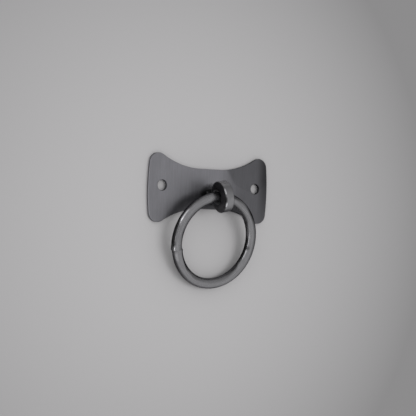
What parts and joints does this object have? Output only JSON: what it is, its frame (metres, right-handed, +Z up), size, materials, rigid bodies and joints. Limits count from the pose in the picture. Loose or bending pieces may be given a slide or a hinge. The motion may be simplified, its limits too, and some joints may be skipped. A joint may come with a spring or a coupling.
{
  "type": "ring pull",
  "caption": "Cabinet ring pull: a bow-tie steel backplate with screw holes, and a welded round-bar ring that swings in a riveted eye.",
  "frame": {"origin": "middle of the backplate's back face, on the surface it is screwed to", "axes": "+X along the backplate's long side, +Y into the surface it is fixed to, +Z up"},
  "size_m": [0.076, 0.0203, 0.0707],
  "materials": {
    "plate_steel": "satin, lightly brushed and waxed",
    "eye_steel": "forged, edges polished",
    "ring_steel": "polished round bar"
  },
  "bodies": {
    "base": {"backplate": "plate_steel", "ring_eye": "eye_steel"},
    "ring": {"ring": "ring_steel"}
  },
  "joints": [
    {"name": "ring_swing", "type": "hinge", "parent": "base", "child": "ring", "pos_m": [0, -0.0116, -0.00405], "axis": [-1, 0, 0], "range_deg": [0, 158.9]}
  ]
}
